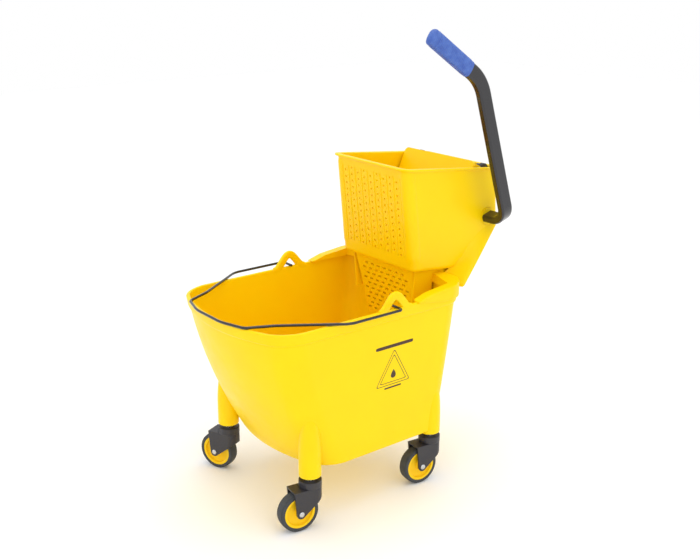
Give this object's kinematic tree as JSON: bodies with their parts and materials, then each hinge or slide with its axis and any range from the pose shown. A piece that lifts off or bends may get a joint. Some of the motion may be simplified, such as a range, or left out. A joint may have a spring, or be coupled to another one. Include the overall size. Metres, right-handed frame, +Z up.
{
  "type": "mop bucket with wringer",
  "caption": "Wheeled mopping bucket with a carrying bail and a lift-off side-press wringer worked by a long lever.",
  "frame": {"origin": "middle of the whole object's footprint, on the floor", "axes": "+X towards the lever's side, +Y from the bowed front towards the wringer, +Z up"},
  "size_m": [0.3858, 0.6054, 0.87],
  "materials": {
    "tub_yellow": "moulded",
    "wringer_yellow": "moulded",
    "hub_yellow": "moulded",
    "black_plastic": "satin",
    "black_steel": "gloss",
    "grip_blue": "satin",
    "tyre_grey": "matte",
    "zinc_steel": "satin"
  },
  "bodies": {
    "bucket": {"bucket_tub": "tub_yellow", "caster_socket_near_front": "black_plastic", "caster_stem_near_front": "zinc_steel", "caster_socket_near_back": "black_plastic", "caster_stem_near_back": "zinc_steel", "caster_socket_far_front": "black_plastic", "caster_stem_far_front": "zinc_steel", "caster_socket_far_back": "black_plastic", "caster_stem_far_back": "zinc_steel"},
    "bail": {"bail_wire": "black_steel"},
    "wringer": {"wringer_body": "wringer_yellow", "drain_strainer": "wringer_yellow", "plate_hinge_rod": "zinc_steel", "far_shaft_bush": "black_plastic"},
    "press": {"press_plate": "wringer_yellow"},
    "lever": {"cross_shaft": "zinc_steel", "shaft_retaining_ring": "zinc_steel", "crank_near": "black_steel", "crank_far": "black_steel", "return_spring_near": "zinc_steel", "return_spring_far": "zinc_steel", "handle_tube": "black_steel", "lever_plug": "black_plastic", "journal_ring": "wringer_yellow", "handle_grip": "grip_blue"},
    "roller_near": {"roller_near": "black_plastic"},
    "roller_far": {"roller_far": "black_plastic"},
    "swivel_near_front": {"swivel_collar_near_front": "black_plastic", "caster_fork_near_front": "black_plastic", "wheel_axle_near_front": "zinc_steel"},
    "wheel_near_front": {"wheel_hub_near_front": "hub_yellow", "tyre_near_front": "tyre_grey"},
    "swivel_near_back": {"swivel_collar_near_back": "black_plastic", "caster_fork_near_back": "black_plastic", "wheel_axle_near_back": "zinc_steel"},
    "wheel_near_back": {"wheel_hub_near_back": "hub_yellow", "tyre_near_back": "tyre_grey"},
    "swivel_far_front": {"swivel_collar_far_front": "black_plastic", "caster_fork_far_front": "black_plastic", "wheel_axle_far_front": "zinc_steel"},
    "wheel_far_front": {"wheel_hub_far_front": "hub_yellow", "tyre_far_front": "tyre_grey"},
    "swivel_far_back": {"swivel_collar_far_back": "black_plastic", "caster_fork_far_back": "black_plastic", "wheel_axle_far_back": "zinc_steel"},
    "wheel_far_back": {"wheel_hub_far_back": "hub_yellow", "tyre_far_back": "tyre_grey"}
  },
  "joints": [
    {"name": "bail_swing", "type": "hinge", "parent": "bucket", "child": "bail", "pos_m": [0.00486, -0.01425, 0.391], "axis": [-1, 0, 0], "range_deg": [0, 90]},
    {"name": "wringer_lift", "type": "slide", "parent": "bucket", "child": "wringer", "axis": [0, 0, 1], "range_m": [0, 0.16]},
    {"name": "lever_press", "type": "hinge", "parent": "wringer", "child": "lever", "pos_m": [0.00486, 0.27075, 0.501], "axis": [1, 0, 0], "range_deg": [0, 50], "stiffness_Nm_per_rad": 2.5, "springref_deg": -28.65},
    {"name": "plate_swing", "type": "hinge", "parent": "wringer", "child": "press", "pos_m": [0.00486, 0.15375, 0.438], "axis": [1, 0, 0], "range_deg": [0, 28]},
    {"name": "roller_near_turn", "type": "hinge", "parent": "lever", "child": "roller_near", "pos_m": [0.00486, 0.27075, 0.593], "axis": [1, 0, 0], "continuous": true},
    {"name": "roller_far_turn", "type": "hinge", "parent": "lever", "child": "roller_far", "pos_m": [0.00486, 0.27075, 0.593], "axis": [1, 0, 0], "continuous": true},
    {"name": "swivel_near_front_turn", "type": "hinge", "parent": "bucket", "child": "swivel_near_front", "pos_m": [0.14186, -0.18625, 0.082], "axis": [0, 0, 1], "continuous": true},
    {"name": "wheel_near_front_turn", "type": "hinge", "parent": "swivel_near_front", "child": "wheel_near_front", "pos_m": [0.13806, -0.21197, 0.0375], "axis": [-0.9893, 0.1461, 0], "continuous": true},
    {"name": "swivel_near_back_turn", "type": "hinge", "parent": "bucket", "child": "swivel_near_back", "pos_m": [0.14186, 0.10175, 0.082], "axis": [0, 0, 1], "continuous": true},
    {"name": "wheel_near_back_turn", "type": "hinge", "parent": "swivel_near_back", "child": "wheel_near_back", "pos_m": [0.13928, 0.07588, 0.0375], "axis": [-0.9951, 0.0993, 0], "continuous": true},
    {"name": "swivel_far_front_turn", "type": "hinge", "parent": "bucket", "child": "swivel_far_front", "pos_m": [-0.13214, -0.18625, 0.082], "axis": [0, 0, 1], "continuous": true},
    {"name": "wheel_far_front_turn", "type": "hinge", "parent": "swivel_far_front", "child": "wheel_far_front", "pos_m": [-0.15596, -0.19666, 0.0375], "axis": [-0.4003, 0.9164, 0], "continuous": true},
    {"name": "swivel_far_back_turn", "type": "hinge", "parent": "bucket", "child": "swivel_far_back", "pos_m": [-0.13214, 0.10175, 0.082], "axis": [0, 0, 1], "continuous": true},
    {"name": "wheel_far_back_turn", "type": "hinge", "parent": "swivel_far_back", "child": "wheel_far_back", "pos_m": [-0.14435, 0.07879, 0.0375], "axis": [-0.8829, 0.4695, 0], "continuous": true}
  ],
  "couplings": [
    {"joint": "plate_swing", "follows": "lever_press", "ratio": 0.55}
  ]
}
